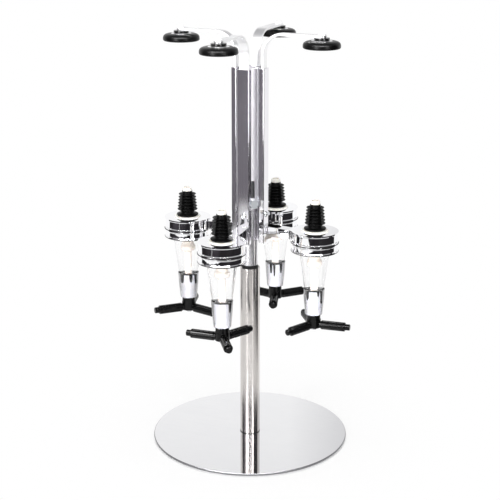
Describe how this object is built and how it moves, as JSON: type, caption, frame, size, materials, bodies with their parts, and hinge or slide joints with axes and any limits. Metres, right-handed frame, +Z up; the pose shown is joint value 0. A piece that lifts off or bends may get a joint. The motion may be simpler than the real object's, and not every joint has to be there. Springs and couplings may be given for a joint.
{
  "type": "rotary liquor dispenser",
  "caption": "Turning bottle stand: upturned bottles hang on a column over push-up measures with three-armed levers, held by sliding arms with rubber pads, on a round plate.",
  "frame": {"origin": "centre of the underside, on the column's axis", "axes": "+Z up the column; +X towards station 1, +Y towards station 2"},
  "size_m": [0.2576, 0.2514, 0.5255],
  "materials": {
    "mat_rubber": "matt black sheet",
    "base_steel": "polished, with fine lines",
    "screw_steel": "zinc plated",
    "pole_steel": "polished",
    "plug_steel": "turned",
    "washer_plastic": "black",
    "column_aluminium": "bright, drawn",
    "ring_chrome": "bright plated",
    "cream_plastic": "smooth cream",
    "stopper_rubber": "satin black",
    "clear_plastic": "clear",
    "lever_plastic": "satin black",
    "spring_steel": "bright wire",
    "arm_steel": "polished",
    "pad_rubber": "glossy black"
  },
  "bodies": {
    "stand": {"base_mat": "mat_rubber", "base_plate": "base_steel", "base_screws": "screw_steel", "pole": "pole_steel", "pole_foot": "plug_steel", "spindle": "plug_steel", "bearing_washer": "washer_plastic"},
    "carousel": {"column": "column_aluminium", "retaining_bolt": "screw_steel", "bracket_screws": "screw_steel", "bracket_1": "ring_chrome", "clamp_ring_1": "ring_chrome", "inlet_cap_1": "cream_plastic", "stopper_1": "stopper_rubber", "chamber_1": "clear_plastic", "nozzle_1": "clear_plastic", "bracket_2": "ring_chrome", "clamp_ring_2": "ring_chrome", "inlet_cap_2": "cream_plastic", "stopper_2": "stopper_rubber", "chamber_2": "clear_plastic", "nozzle_2": "clear_plastic", "bracket_3": "ring_chrome", "clamp_ring_3": "ring_chrome", "inlet_cap_3": "cream_plastic", "stopper_3": "stopper_rubber", "chamber_3": "clear_plastic", "nozzle_3": "clear_plastic", "bracket_4": "ring_chrome", "clamp_ring_4": "ring_chrome", "inlet_cap_4": "cream_plastic", "stopper_4": "stopper_rubber", "chamber_4": "clear_plastic", "nozzle_4": "clear_plastic"},
    "press_1": {"lever_1": "lever_plastic", "plunger_1": "cream_plastic", "return_spring_1": "spring_steel"},
    "press_2": {"lever_2": "lever_plastic", "plunger_2": "cream_plastic", "return_spring_2": "spring_steel"},
    "press_3": {"lever_3": "lever_plastic", "plunger_3": "cream_plastic", "return_spring_3": "spring_steel"},
    "press_4": {"lever_4": "lever_plastic", "plunger_4": "cream_plastic", "return_spring_4": "spring_steel"},
    "holder_1": {"arm_1": "arm_steel", "bottle_pad_1": "pad_rubber", "pad_screw_1": "screw_steel"},
    "holder_2": {"arm_2": "arm_steel", "bottle_pad_2": "pad_rubber", "pad_screw_2": "screw_steel"},
    "holder_3": {"arm_3": "arm_steel", "bottle_pad_3": "pad_rubber", "pad_screw_3": "screw_steel"},
    "holder_4": {"arm_4": "arm_steel", "bottle_pad_4": "pad_rubber", "pad_screw_4": "screw_steel"}
  },
  "joints": [
    {"name": "carousel_turn", "type": "hinge", "parent": "stand", "child": "carousel", "pos_m": [0, 0, 0.233], "axis": [0, 0, 1], "continuous": true},
    {"name": "lever_push_1", "type": "slide", "parent": "carousel", "child": "press_1", "axis": [0, 0, 1], "range_m": [0, 0.007], "stiffness_N_per_m": 250, "springref_m": -0.012, "deforming": ["return_spring_1"]},
    {"name": "lever_push_2", "type": "slide", "parent": "carousel", "child": "press_2", "axis": [0, 0, 1], "range_m": [0, 0.007], "stiffness_N_per_m": 250, "springref_m": -0.012, "deforming": ["return_spring_2"]},
    {"name": "lever_push_3", "type": "slide", "parent": "carousel", "child": "press_3", "axis": [0, 0, 1], "range_m": [0, 0.007], "stiffness_N_per_m": 250, "springref_m": -0.012, "deforming": ["return_spring_3"]},
    {"name": "lever_push_4", "type": "slide", "parent": "carousel", "child": "press_4", "axis": [0, 0, 1], "range_m": [0, 0.007], "stiffness_N_per_m": 250, "springref_m": -0.012, "deforming": ["return_spring_4"]},
    {"name": "arm_slide_1", "type": "slide", "parent": "carousel", "child": "holder_1", "axis": [0, 0, 1], "range_m": [0, 0.13]},
    {"name": "arm_slide_2", "type": "slide", "parent": "carousel", "child": "holder_2", "axis": [0, 0, 1], "range_m": [0, 0.13]},
    {"name": "arm_slide_3", "type": "slide", "parent": "carousel", "child": "holder_3", "axis": [0, 0, 1], "range_m": [0, 0.13]},
    {"name": "arm_slide_4", "type": "slide", "parent": "carousel", "child": "holder_4", "axis": [0, 0, 1], "range_m": [0, 0.13]}
  ]
}
